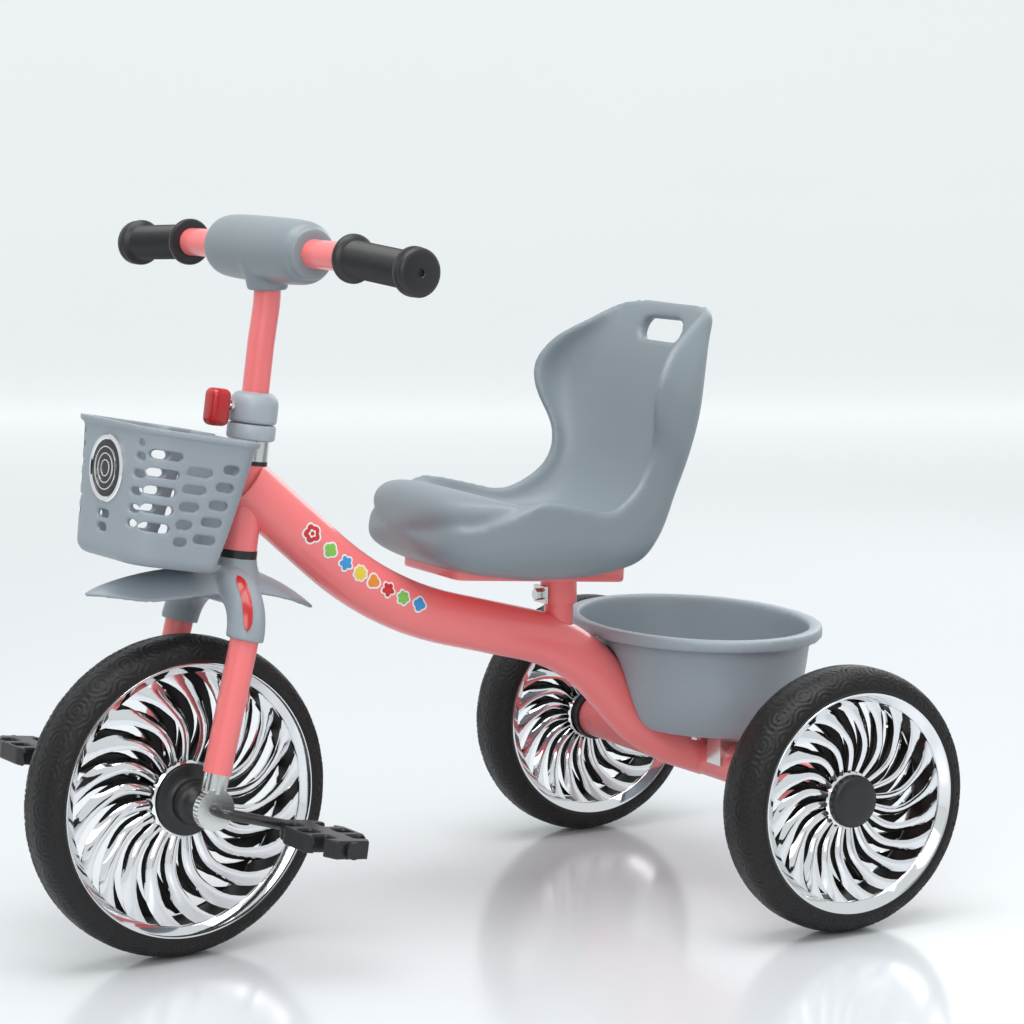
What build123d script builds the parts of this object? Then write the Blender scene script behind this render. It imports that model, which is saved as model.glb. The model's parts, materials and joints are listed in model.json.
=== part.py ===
from build123d import *
import math
import os

# A child's pedal tricycle. Millimetres, +X forward, +Y to the rider's left, +Z up.
# While it is built, X = 0 is the rear axle and Z = 0 is the ground; at the end the
# whole tricycle is moved along X so that the origin is under the middle of its box.

# Driving dimensions -------------------------------------------------------------
WHEELBASE = 486.7
FRONT_TYRE_RADIUS = 125.0
REAR_TYRE_RADIUS = 106.2
TYRE_HALF_WIDTH = 24.4
FRONT_RIM_RADIUS = 107.9
REAR_RIM_RADIUS = 89.1
RIM_DEPTH = 10.0
REAR_WHEEL_Y = 199.5
BLADES = 20

STEER_X = 433.0          # steering axis at height STEER_Z
STEER_Z = 300.0
STEER_TILT = 7.75        # degrees, top leaning back
REST_STEER = 6.0         # degrees, the front end is turned this far to the left at rest

TUBE_RADIUS = 11.0       # handlebar and fork tube
STEM_RADIUS = 10.5
STEERER_RADIUS = 12.0
BAR_X = 402.9
BAR_Z = 536.3
BAR_HALF = 208.0
GRIP_INNER_Y = 121.0
GRIP_OUTER_Y = 211.0
COVER_HALF = 89.0

MAIN_TUBE_RADIUS = 21.4
MAIN_TUBE_WALL = 1.8
MAIN_TUBE_PATH = ((427, 0, 364), (309.4, 0, 258.1), (131.8, 0, 211.3), (59.3, 0, 130.8), (0, 0, 108))
MAIN_TUBE_BENDS = (270, 150, 140)
AXLE_TUBE_RADIUS = 18.8
AXLE_TUBE_WALL = 2.0
AXLE_TUBE_HALF = 178.0
AXLE_RADIUS = 5.0
HEAD_TUBE_RADIUS = 14.8
HEAD_TUBE_BORE = 13.2
HEAD_BOTTOM = 12.0       # along the steering axis, from the height STEER_Z
HEAD_TOP = 78.0
POST_X = 144.8

FORK_HALF = 50.0         # leg centre to the wheel's middle plane
FORK_TILT = 13.9         # degrees
CROWN_BEND = 37.0
CROWN_Z = 287.0
LEG_START = 27.0         # from the wheel's centre, along the leg
SLEEVE_START = 12.0
EYE_RADIUS = 16.0
EYE_INNER_Y = 52.5
EYE_OUTER_Y = 59.5

ROD_RADIUS = 4.25
CRANK_RADIUS = 61.0
CRANK_ANGLE = 17.0       # degrees below level, left arm pointing back
CRANK_ARM_Y = 70.0
PEDAL_INNER_Y = 79.0
PEDAL_OUTER_Y = 159.0
PEDAL_HALF_WIDTH = 26.0
PEDAL_THICK = 14.0
PEDAL_LEAN = 8.0         # degrees, front edge up

SEAT_HALF_WIDTH = 104.0
TRAY_LENGTH = 202.0
TRAY_WIDTH = 96.0
TRAY_HEIGHT = 12.0
TRAY_PLATE = 2.0
TRAY_MIDDLE_X = 199.0
TRAY_MIDDLE_Z = 274.4    # underside
TRAY_TILT = 4.9          # degrees, front edge up
TRAY_BOLT_X = (-60.0, 52.0)
TRAY_BOLT_Y = (-32.0, 32.0)

BASIN_X = 14.0
BASIN_TOP_Z = 224.0
BASIN_RIM_A = 96.0       # half length along X
BASIN_RIM_B = 130.5      # half length along Y
BASIN_BOTTOM_Z = 136.0
BASIN_WALL = 3.0
BASIN_LIP = 8.0
BRACKET_Y = 44.0
BRACKET_SCREW_X = (-26.0, 38.0)

BASKET_TILT = 11.0       # degrees, front edge up
BASKET_REAR_X = 452.0
BASKET_REAR_Z = 402.0
BASKET_LENGTH = 91.0
BASKET_HALF_WIDTH = 64.0
BASKET_DEPTH = 93.0
BASKET_WALL = 2.4

CLAMP_STATION = 122.0    # knob and clamp bolt, along the steering axis
RUNNING_GAP = 0.08       # radial, between parts that turn or slide on each other
SNUG_GAP = 0.05          # radial, between parts fixed to each other

UP = (Align.CENTER, Align.CENTER, Align.MIN)
BOTH = (Align.CENTER, Align.CENTER, Align.CENTER)
NODES = {}

# Placing ------------------------------------------------------------------------
tilt = math.radians(STEER_TILT)
AXIS_DIRECTION = Vector(-math.sin(tilt), 0, math.cos(tilt))
AXIS_ORIGIN = Vector(STEER_X, 0, STEER_Z)
AXIS_FRAME = Plane(origin=AXIS_ORIGIN, x_dir=(math.cos(tilt), 0, math.sin(tilt)), z_dir=AXIS_DIRECTION)
STEERING_AXIS = Axis(AXIS_ORIGIN, AXIS_DIRECTION)
FRONT_CENTRE = Vector(WHEELBASE, 0, FRONT_TYRE_RADIUS)
AXLE_FRAME = Plane(origin=(0, 0, REAR_TYRE_RADIUS), x_dir=(1, 0, 0), z_dir=(0, 1, 0))


def on_steering_axis(start, end, outer, inner=0.0, top=None):
    """A sleeve on the steering axis between two stations, straight or tapered."""
    length = end - start
    sleeve = Cylinder(outer, length, align=UP) if top is None else Cone(outer, top, length, align=UP)
    if inner:
        sleeve -= Cylinder(inner, 3 * length, align=BOTH)
    return AXIS_FRAME * Pos(0, 0, start) * sleeve


def tube(points, bends, radius, inner=0.0):
    """A round tube along straight runs joined by arcs."""
    path = FilletPolyline(*points, radius=bends)
    section = Plane(origin=path @ 0, z_dir=path % 0)
    solid = sweep(section * Circle(radius), path=path)
    if inner:
        solid -= sweep(section * Circle(inner), path=path)
    return solid


def turned(profile, centre):
    """A ring turned about the wheel's axis, from points of (radius, offset along +Y)."""
    face = make_face(Polyline(*[(r, 0, w) for r, w in profile], close=True))
    return Plane(origin=centre, x_dir=(1, 0, 0), z_dir=(0, 1, 0)) * revolve(face, Axis.Z)


def tilted(x, z, degrees):
    """A working plane at (x, 0, z) with its X leaning up from level by the angle."""
    lean = math.radians(degrees)
    return Plane(origin=(x, 0, z), x_dir=(math.cos(lean), 0, math.sin(lean)),
                 z_dir=(-math.sin(lean), 0, math.cos(lean)))


def bolt(head, head_length, shank, length):
    """A screw standing on its tip at the origin, with a hexagon head on top."""
    hexagon = extrude(RegularPolygon(head, 6), head_length)
    return Cylinder(shank, length, align=UP) + Pos(0, 0, length) * hexagon


def largest(shape):
    """The biggest piece of a shape, leaving offcuts behind."""
    return max(shape.solids(), key=lambda solid: solid.volume)


# Frame ---------------------------------------------------------------------------
def make_frame():
    """The bent main tube welded to the head tube and to the rear axle tube."""
    head_clear = on_steering_axis(HEAD_BOTTOM - 40, HEAD_TOP + 40, HEAD_TUBE_RADIUS)
    above_head = on_steering_axis(HEAD_TOP - 0.5, HEAD_TOP + 40, 40)
    main = tube(MAIN_TUBE_PATH, MAIN_TUBE_BENDS, MAIN_TUBE_RADIUS, MAIN_TUBE_RADIUS - MAIN_TUBE_WALL)
    main -= head_clear + above_head
    main -= AXLE_FRAME * Cylinder(AXLE_TUBE_RADIUS, 200, align=BOTH)
    NODES["main_tube"] = largest(main)
    NODES["head_tube"] = on_steering_axis(HEAD_BOTTOM, HEAD_TOP, HEAD_TUBE_RADIUS, HEAD_TUBE_BORE)
    across = Cylinder(AXLE_TUBE_RADIUS, 2 * AXLE_TUBE_HALF, align=BOTH)
    across -= Cylinder(AXLE_TUBE_RADIUS - AXLE_TUBE_WALL, 2 * AXLE_TUBE_HALF + 2, align=BOTH)
    NODES["rear_axle_tube"] = AXLE_FRAME * across
    plug_length, flange_radius, flange_length = 12, 21.5, 5
    plug = Cylinder(AXLE_TUBE_RADIUS - AXLE_TUBE_WALL - SNUG_GAP, plug_length, align=UP)
    plug += Pos(0, 0, plug_length) * Cylinder(flange_radius, flange_length, align=UP)
    plug -= Cylinder(AXLE_RADIUS + RUNNING_GAP, 60, align=BOTH)
    for name, side in (("left", 1), ("right", -1)):
        face = Plane(origin=(0, side * (AXLE_TUBE_HALF - plug_length), REAR_TYRE_RADIUS),
                     x_dir=(1, 0, 0), z_dir=(0, side, 0))
        NODES["axle_bush_" + name] = face * plug
    NODES["rear_axle"] = AXLE_FRAME * Cylinder(AXLE_RADIUS, 2 * (REAR_WHEEL_Y + 8), align=BOTH)


def make_seat_post():
    """A short upright stub with a cup, welded on top of the main tube."""
    stub_radius, cup_radius, cup_bottom, cup_top = 12, 15, 247, 268.6
    inside_tube = 214.7
    stub = Pos(POST_X, 0, inside_tube) * Cylinder(stub_radius, cup_bottom + 2 - inside_tube, align=UP)
    stub += Pos(POST_X, 0, cup_bottom) * Cylinder(cup_radius, cup_top - cup_bottom, align=UP)
    stub = largest(stub - tube(MAIN_TUBE_PATH, MAIN_TUBE_BENDS, MAIN_TUBE_RADIUS))
    NODES["seat_post"] = stub - Pos(POST_X, 0, cup_bottom + 5) * Cylinder(cup_radius - 2.4, 30, align=UP)


def make_headset():
    """Flanged plastic bushes pressed into both ends of the head tube."""
    plug_length, flange_radius = 12, HEAD_TUBE_RADIUS + 0.4
    bore = STEERER_RADIUS + RUNNING_GAP
    lower = on_steering_axis(HEAD_BOTTOM - 10, HEAD_BOTTOM, flange_radius, bore)
    lower += on_steering_axis(HEAD_BOTTOM, HEAD_BOTTOM + plug_length, HEAD_TUBE_BORE, bore)
    upper = on_steering_axis(HEAD_TOP, HEAD_TOP + 3, flange_radius, bore)
    upper += on_steering_axis(HEAD_TOP - plug_length, HEAD_TOP, HEAD_TUBE_BORE, bore)
    NODES["lower_headset_bush"] = lower
    NODES["upper_headset_bush"] = upper


# Seat ----------------------------------------------------------------------------
def seat_block():
    """The outside of the moulded seat."""
    side_line = [(312, 318), (300, 345), (262, 352), (215, 343), (170, 332), (140, 344), (128, 372),
                 (130, 410), (122, 440), (92, 468), (48, 489), (18, 488), (12, 470), (34, 402),
                 (54, 330), (78, 296), (118, 277), (175, 272), (240, 282), (293, 297)]
    side = make_face(Spline(*[(x, 0, z) for x, z in side_line], periodic=True))
    half_line = [(62, 500), (70, 482), (92, 462), (104, 436), (104, 405), (98, 372), (97, 345), (101, 330),
                 (98, 300), (84, 282), (60, 270), (0, 262)]
    right = Spline(*[(0, y, z) for y, z in half_line])
    left = Spline(*[(0, -y, z) for y, z in reversed(half_line)])
    front = make_face([right, left, Line((0, -62, 500), (0, 62, 500))])
    plan = make_face((Pos(170, 0) * RectangleRounded(290, 2 * SEAT_HALF_WIDTH, 62)).wires()[0])
    block = extrude(side, SEAT_HALF_WIDTH, both=True)
    block &= extrude(front, 400, both=True)
    return block & extrude(plan, 600)


def seat_hollow():
    """The space for the rider inside the bucket."""
    side_line = [(290, 349), (235, 330), (160, 309), (112, 315), (84, 345), (66, 400), (52, 452), (47, 478)]
    curve = Spline(*[(x, 0, z) for x, z in side_line])
    edge = Polyline((47, 0, 478), (60, 0, 540), (360, 0, 540), (360, 0, 356), (290, 0, 349))
    side = make_face([curve, edge])
    half_line = [(46, 540), (50, 476), (72, 452), (86, 430), (86, 400), (80, 370), (80, 350), (82, 330),
                 (76, 315), (50, 306), (0, 302)]
    right = Spline(*[(0, y, z) for y, z in half_line])
    left = Spline(*[(0, -y, z) for y, z in reversed(half_line)])
    front = make_face([right, left, Line((0, -46, 540), (0, 46, 540))])
    return extrude(side, 90, both=True) & extrude(front, 400, both=True)


def make_seat():
    """The moulded bucket seat, with a hand slot and a recess for the mounting tray."""
    slot_plane = Plane(origin=(36, 0, 466), x_dir=(0, 1, 0), z_dir=(1, 0, 0.26))
    slot = extrude(slot_plane * SlotOverall(62, 19), 60, both=True)
    recess = tilted(TRAY_MIDDLE_X, TRAY_MIDDLE_Z, TRAY_TILT) * Pos(0, 0, -20) * Box(
        TRAY_LENGTH + 1, TRAY_WIDTH + 1, TRAY_HEIGHT + 20.5, align=UP)
    NODES["seat"] = largest(seat_block() - seat_hollow() - slot - recess)


def make_seat_mounting():
    """The pressed tray under the seat, its bolts, and the clamp plate on the seat post."""
    hole_radius, shank_radius, nut = 3.2, 3.0, 5.0
    place = tilted(TRAY_MIDDLE_X, TRAY_MIDDLE_Z, TRAY_TILT)
    tray = extrude(RectangleRounded(TRAY_LENGTH, TRAY_WIDTH, 12), TRAY_HEIGHT)
    inside = RectangleRounded(TRAY_LENGTH - 2 * TRAY_PLATE, TRAY_WIDTH - 2 * TRAY_PLATE, 10)
    tray -= Pos(0, 0, -TRAY_PLATE) * extrude(inside, TRAY_HEIGHT)
    spots = [(x, y) for x in TRAY_BOLT_X for y in TRAY_BOLT_Y]
    bolts = Part()
    for x, y in spots:
        tray -= Pos(x, y, -5) * Cylinder(hole_radius, 30, align=UP)
        top = TRAY_HEIGHT + 0.2
        bolts += place * Pos(x, y, top) * Rotation(180, 0, 0) * bolt(nut, 4, shank_radius, TRAY_PLATE + 0.2)
    NODES["seat_bolts"] = bolts
    tray = place * tray
    NODES["seat_tray"] = tray - tube(MAIN_TUBE_PATH, MAIN_TUBE_BENDS, MAIN_TUBE_RADIUS + 0.4)
    screw_frame = Plane(origin=(POST_X + 15.1, 0, 255), z_dir=(1, 0, 0))
    plate = Pos(POST_X + 16.8, 0, 248) * Box(3, 18, 14, align=UP)
    NODES["post_clamp_plate"] = plate - screw_frame * Cylinder(hole_radius, 60, align=BOTH)
    NODES["post_clamp_bolt"] = screw_frame * bolt(nut, 4, shank_radius, 3.5)


# Rear basin ------------------------------------------------------------------------
def basin_layer(inset, widthways_inset, height):
    """One oval slice of the basin, drawn in from the rim by the two amounts."""
    return Plane(origin=(BASIN_X, 0, height)) * Ellipse(BASIN_RIM_A - inset, BASIN_RIM_B - widthways_inset)


def make_basin():
    """A moulded oval storage basin with a rolled lip and a groove for the main tube."""
    wall, low, top = BASIN_WALL, BASIN_BOTTOM_Z, BASIN_TOP_Z
    shape = ((38, 42, low), (25, 26, low + 14), (14, 15, low + 46), (BASIN_LIP, BASIN_LIP, top))
    outer = loft([basin_layer(a, b, z) for a, b, z in shape])
    inner = loft([basin_layer(a + wall, b + wall, z + (wall if z < low + 20 else 0)) for a, b, z in shape[:3]]
                 + [basin_layer(BASIN_LIP + wall, BASIN_LIP + wall, top + 0.5)])
    lip = extrude(basin_layer(0, 0, top - 10), 10)
    lip -= extrude(basin_layer(wall, wall, top - 12), 10)
    groove = tube(MAIN_TUBE_PATH, MAIN_TUBE_BENDS, MAIN_TUBE_RADIUS + 1.0)
    groove_wall = tube(MAIN_TUBE_PATH, MAIN_TUBE_BENDS, MAIN_TUBE_RADIUS + 1.0 + wall)
    basin = largest(outer + lip - groove - (inner - groove_wall))
    strap = Part()
    saddle_length = 2 * AXLE_TUBE_RADIUS + 4
    for side in (1, -1):
        foot = Pos(4, side * BRACKET_Y, low - 3.3) * Box(84, 20, 3, align=UP)
        saddle = Pos(0, side * BRACKET_Y, REAR_TYRE_RADIUS) * Box(saddle_length, 20, 28, align=UP)
        strap += foot + saddle
    strap -= AXLE_FRAME * Cylinder(AXLE_TUBE_RADIUS + SNUG_GAP, 300, align=BOTH)
    shank_radius, hole_radius, head, nut_length = 2.5, 2.7, 4.5, 3.0
    screws = Part()
    for x in BRACKET_SCREW_X:
        for y in (-BRACKET_Y, BRACKET_Y):
            hole = Pos(x, y, low - 30) * Cylinder(hole_radius, 60, align=UP)
            basin -= hole
            strap -= hole
            shank_start = low - 3.3 - nut_length - 0.3
            head_bottom = low + wall + 0.4
            screws += Pos(x, y, shank_start) * bolt(head, 3, shank_radius, head_bottom - shank_start)
            screws += Pos(x, y, shank_start) * extrude(RegularPolygon(head, 6), nut_length)
    NODES["rear_basin"] = basin
    NODES["basin_brackets"] = strap
    NODES["basin_screws"] = screws


# Wheels ----------------------------------------------------------------------------
def tyre_profile(radius, rim):
    """Half round tyre section with a narrow flat tread in the middle."""
    half = TYRE_HALF_WIDTH
    side = [(rim - 2, half - 3), (rim + 1, half - 0.6), (radius - 10, half), (radius - 3, half - 6),
            (radius - 0.6, half - 13), (radius, 3)]
    return side + [(r, -w) for r, w in reversed(side)]


def rim_profile(rim):
    """Wide band with a rolled lip at each edge."""
    edge = TYRE_HALF_WIDTH - 1.1
    seat_edge = TYRE_HALF_WIDTH - 3
    side = [(rim - RIM_DEPTH, edge - 3), (rim - RIM_DEPTH + 2, edge), (rim, edge), (rim - 2, seat_edge)]
    return side + [(r, -w) for r, w in reversed(side)]


def blade_window(inner, outer):
    """One curved opening between two blades, from the hub side to the rim side."""
    pitch_in, pitch_out = 2 * math.pi * inner / BLADES, 2 * math.pi * outer / BLADES
    middle = (inner + outer) / 2
    sweep_angle = math.radians(16)
    line = ((inner, 0, 0.18 * pitch_in), (middle, -0.1 * sweep_angle, 3.6),
            (outer, sweep_angle, 0.21 * pitch_out))
    left = [(r * math.cos(turn + half / r), r * math.sin(turn + half / r)) for r, turn, half in line]
    right = [(r * math.cos(turn - half / r), r * math.sin(turn - half / r)) for r, turn, half in line]
    edges = [Spline(*left), Line(left[-1], right[-1]), Spline(*reversed(right)), Line(right[0], left[0])]
    return extrude(make_face(edges), 80, both=True)


def blade_disc(rim, hub, centre, side, hub_offset, bore):
    """A dished disc with curved windows between the blades, facing the side given."""
    edge = TYRE_HALF_WIDTH - 4.2
    outer = rim - RIM_DEPTH
    dish = [(outer, side * edge), (outer, side * (edge - 4)), (hub, side * (hub_offset - 3)),
            (bore, side * (hub_offset - 3)), (bore, side * hub_offset), (hub, side * hub_offset)]
    solid = turned(dish, centre)
    window = blade_window(hub + 7, outer - 5)
    face_on = Plane(origin=centre, x_dir=(1, 0, 0), z_dir=(0, side, 0))
    return solid - [face_on * Rotation(0, 0, 360 / BLADES * i) * window for i in range(BLADES)]


def make_rear_wheel(name, side):
    """Tyre, rim, two bladed discs, hub sleeve and outer cap of one rear wheel."""
    centre = Vector(0, side * REAR_WHEEL_Y, REAR_TYRE_RADIUS)
    hub_radius, hub_offset, bore = 24, 9, AXLE_RADIUS + RUNNING_GAP
    NODES[name + "_tyre"] = turned(tyre_profile(REAR_TYRE_RADIUS, REAR_RIM_RADIUS), centre)
    NODES[name + "_rim"] = turned(rim_profile(REAR_RIM_RADIUS), centre)
    NODES[name + "_outer_disc"] = blade_disc(REAR_RIM_RADIUS, hub_radius, centre, side, hub_offset, bore)
    NODES[name + "_inner_disc"] = blade_disc(REAR_RIM_RADIUS, hub_radius, centre, -side, hub_offset, bore)
    NODES[name + "_hub"] = turned([(bore, -5.9), (14, -5.9), (14, 5.9), (bore, 5.9)], centre)
    cap = [(0, 16.5), (19, 16.5), (21, 14.5), (21, 9.1), (18, 9.1), (18, 14), (0, 14)]
    NODES[name + "_hub_cap"] = turned([(r, side * w) for r, w in cap], centre)
    spacer = [(bore, -9.1), (17, -9.1), (17, -14.3), (bore, -14.3)]
    NODES[name + "_inner_spacer"] = turned([(r, side * w) for r, w in spacer], centre)


# Front wheel, crank and pedals -------------------------------------------------------
def pedal_centre(side):
    angle = math.radians(CRANK_ANGLE)
    return Vector(FRONT_CENTRE.X - side * CRANK_RADIUS * math.cos(angle),
                  side * (PEDAL_INNER_Y + PEDAL_OUTER_Y) / 2,
                  FRONT_CENTRE.Z - side * CRANK_RADIUS * math.sin(angle))


def make_front_wheel():
    """The driven wheel: tyre, rim, discs and hub cones fixed on the bent crank rod."""
    disc_bore = STEERER_RADIUS + SNUG_GAP
    NODES["front_wheel_tyre"] = turned(tyre_profile(FRONT_TYRE_RADIUS, FRONT_RIM_RADIUS), FRONT_CENTRE)
    NODES["front_wheel_rim"] = turned(rim_profile(FRONT_RIM_RADIUS), FRONT_CENTRE)
    bore = ROD_RADIUS + SNUG_GAP
    cone = [(bore, 10), (12, 10), (12, 16.1), (28, 16.1), (28, 20), (19, 21.5), (17, 24), (17, 30), (12, 33),
            (7.5, 38.5), (7.5, 51.5), (bore, 51.5)]
    for name, side in (("left", 1), ("right", -1)):
        NODES["front_%s_disc" % name] = blade_disc(FRONT_RIM_RADIUS, 30, FRONT_CENTRE, side, 16, disc_bore)
        NODES["front_%s_hub_cone" % name] = turned([(r, side * w) for r, w in cone], FRONT_CENTRE)
    left, right = pedal_centre(1), pedal_centre(-1)
    x, z = FRONT_CENTRE.X, FRONT_CENTRE.Z
    end = PEDAL_OUTER_Y + 1.5
    points = [(right.X, -end, right.Z), (right.X, -CRANK_ARM_Y, right.Z), (x, -CRANK_ARM_Y, z),
              (x, CRANK_ARM_Y, z), (left.X, CRANK_ARM_Y, left.Z), (left.X, end, left.Z)]
    NODES["crank"] = tube(points, (9, 9, 9, 9), ROD_RADIUS)


def make_pedals():
    """Moulded pedals with six wells, each turning on the end of the crank rod."""
    length, w = PEDAL_OUTER_Y - PEDAL_INNER_Y, PEDAL_HALF_WIDTH
    corner = [(0.55 * w, -0.5 * length), (w, -0.175 * length), (w, 0.175 * length), (0.55 * w, 0.5 * length)]
    outline = make_face(Polyline(*corner, *[(-x, y) for x, y in reversed(corner)], close=True))
    block = Pos(0, 0, -PEDAL_THICK / 2) * extrude(outline, PEDAL_THICK)
    for x in (-15, 15):
        for y in (-22, 0, 22):
            block -= Pos(x, y, 0) * Box(14, 14, 2 * PEDAL_THICK)
    block += Rotation(90, 0, 0) * Cylinder(7, length)
    block -= Rotation(90, 0, 0) * Cylinder(ROD_RADIUS + RUNNING_GAP, 2 * length)
    for name, side in (("left", 1), ("right", -1)):
        centre = pedal_centre(side)
        NODES["pedal_" + name] = Pos(*centre) * Rotation(0, -PEDAL_LEAN, 0) * block
        spindle = Plane(origin=(centre.X, side * (PEDAL_OUTER_Y + 0.4), centre.Z), z_dir=(0, side, 0))
        cap = Cylinder(6.5, 3.2, align=UP) - Cylinder(ROD_RADIUS + SNUG_GAP, 1.3, align=UP)
        NODES["pedal_cap_" + name] = spindle * cap


# Fork and steering --------------------------------------------------------------------
def fork_path():
    """The bent fork tube from the left leg's end, over the wheel, to the right leg's end."""
    lean = math.radians(FORK_TILT)
    length = (CROWN_Z - FRONT_CENTRE.Z) / math.cos(lean)
    low = (FRONT_CENTRE.X - LEG_START * math.sin(lean), FRONT_CENTRE.Z + LEG_START * math.cos(lean))
    high = (FRONT_CENTRE.X - length * math.sin(lean), FRONT_CENTRE.Z + length * math.cos(lean))
    return [(low[0], FORK_HALF, low[1]), (high[0], FORK_HALF, high[1]),
            (high[0], -FORK_HALF, high[1]), (low[0], -FORK_HALF, low[1])]


def make_fork():
    """One bent tube with the steerer welded on top, and a cast end pressed in each leg."""
    legs = tube(fork_path(), CROWN_BEND, TUBE_RADIUS)
    steerer = on_steering_axis(-14, 110, STEERER_RADIUS)
    NODES["fork"] = legs + steerer - on_steering_axis(0, 120, STEM_RADIUS + RUNNING_GAP)
    lean = math.radians(FORK_TILT)
    sleeve_radius = 10.0
    for name, side in (("left", 1), ("right", -1)):
        leg_frame = Plane(origin=(FRONT_CENTRE.X, side * FORK_HALF, FRONT_CENTRE.Z),
                          x_dir=(0, 1, 0), z_dir=(-math.sin(lean), 0, math.cos(lean)))
        sleeve_length = LEG_START - SLEEVE_START
        sleeve = leg_frame * Pos(0, 0, SLEEVE_START) * Cylinder(sleeve_radius, sleeve_length, align=UP)
        eye_frame = Plane(origin=(FRONT_CENTRE.X, side * EYE_INNER_Y, FRONT_CENTRE.Z), z_dir=(0, side, 0))
        eye = eye_frame * Cylinder(EYE_RADIUS, EYE_OUTER_Y - EYE_INNER_Y, align=UP)
        end = sleeve + eye - eye_frame * Cylinder(ROD_RADIUS + RUNNING_GAP, 100, align=BOTH)
        NODES["fork_end_" + name] = end


def fender_leaf(place, half, reach, arch):
    """One curved leaf of the fender: a slice of an arched sheet cut to a pointed outline."""
    sheet, root = 2.4, 34
    section = Circle(arch) - Circle(arch - sheet)
    shell = Pos(0, 0, -arch) * Rotation(0, 90, 0) * extrude(section, 150, both=True)
    outline = [(-root, -0.8 * half), (0, -half), (0.55 * reach, -0.8 * half), (reach, 0),
               (0.55 * reach, 0.8 * half), (0, half), (-root, 0.8 * half)]
    cutter = extrude(make_face(Polyline(*outline, close=True)), 22)
    return place * (shell & Pos(0, 0, -18) * cutter)


def make_fender():
    """The plastic fender over the fork crown, with a leaf ahead and a leaf behind."""
    cover_radius, cover_bottom = 14.2, 254.0
    cover = tube(fork_path(), CROWN_BEND, cover_radius)
    cover &= Pos(FRONT_CENTRE.X - 30, 0, cover_bottom) * Box(140, 300, 100, align=UP)
    neck = on_steering_axis(-6, 1.9, 18, top=15)
    ahead = fender_leaf(tilted(470, 296, -6), half=27.0, reach=94.0, arch=34.0)
    droop = math.radians(29)
    behind_frame = Plane(origin=(424, 0, 290), x_dir=(-math.cos(droop), 0, -math.sin(droop)),
                         z_dir=(-math.sin(droop), 0, math.cos(droop)))
    behind = fender_leaf(behind_frame, half=22.0, reach=68.0, arch=30.0)
    body = cover + neck + ahead + behind
    body -= tube(fork_path(), CROWN_BEND, TUBE_RADIUS + SNUG_GAP)
    NODES["front_fender"] = largest(body - on_steering_axis(-60, 60, STEERER_RADIUS + SNUG_GAP))


def make_collar():
    """Collar and clamp that hold the stem: base ring, cup, and a screw with a knob."""
    tight, sliding = STEERER_RADIUS + SNUG_GAP, STEM_RADIUS + RUNNING_GAP
    outer = 18.5
    base = on_steering_axis(97, 109.5, outer) + AXIS_FRAME * Pos(-19, 0, 99) * Box(6, 10, 5, align=UP)
    NODES["collar_base"] = base - on_steering_axis(90, 120, tight)
    screw_frame = Plane(origin=AXIS_ORIGIN + AXIS_DIRECTION * CLAMP_STATION, x_dir=(0, 1, 0),
                        z_dir=(math.cos(tilt), 0, math.sin(tilt)))
    shank, head_start, knob_start, knob_length = 3.0, 18.9, 22.0, 18.0
    cup = on_steering_axis(110.3, 134, outer, sliding)
    NODES["stem_collar"] = cup - screw_frame * Cylinder(shank + RUNNING_GAP, 40, align=UP)
    screw = screw_frame * Pos(0, 0, 11.5) * Cylinder(shank, 14, align=UP)
    screw += screw_frame * Pos(0, 0, head_start) * Cylinder(4.5, 2.8, align=UP)
    NODES["clamp_bolt"] = screw
    knob = screw_frame * Pos(0, 0, knob_start) * extrude(RectangleRounded(17, 29, 5), knob_length)
    NODES["clamp_knob"] = knob - screw_frame * Cylinder(shank + SNUG_GAP, 25.6, align=UP)


def make_basket_bracket():
    """Bent steel strip round the steerer that carries the front basket."""
    ring = on_steering_axis(81.3, 96.7, HEAD_TUBE_RADIUS + 0.2)
    arm = AXIS_FRAME * Pos(22, 0, 84) * Box(18, 34, 3, align=UP)
    plate = AXIS_FRAME * Pos(30.4, 0, 70) * Box(2.4, 34, 24, align=UP)
    NODES["basket_bracket"] = ring + arm + plate - on_steering_axis(60, 120, STEERER_RADIUS + SNUG_GAP)


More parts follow.
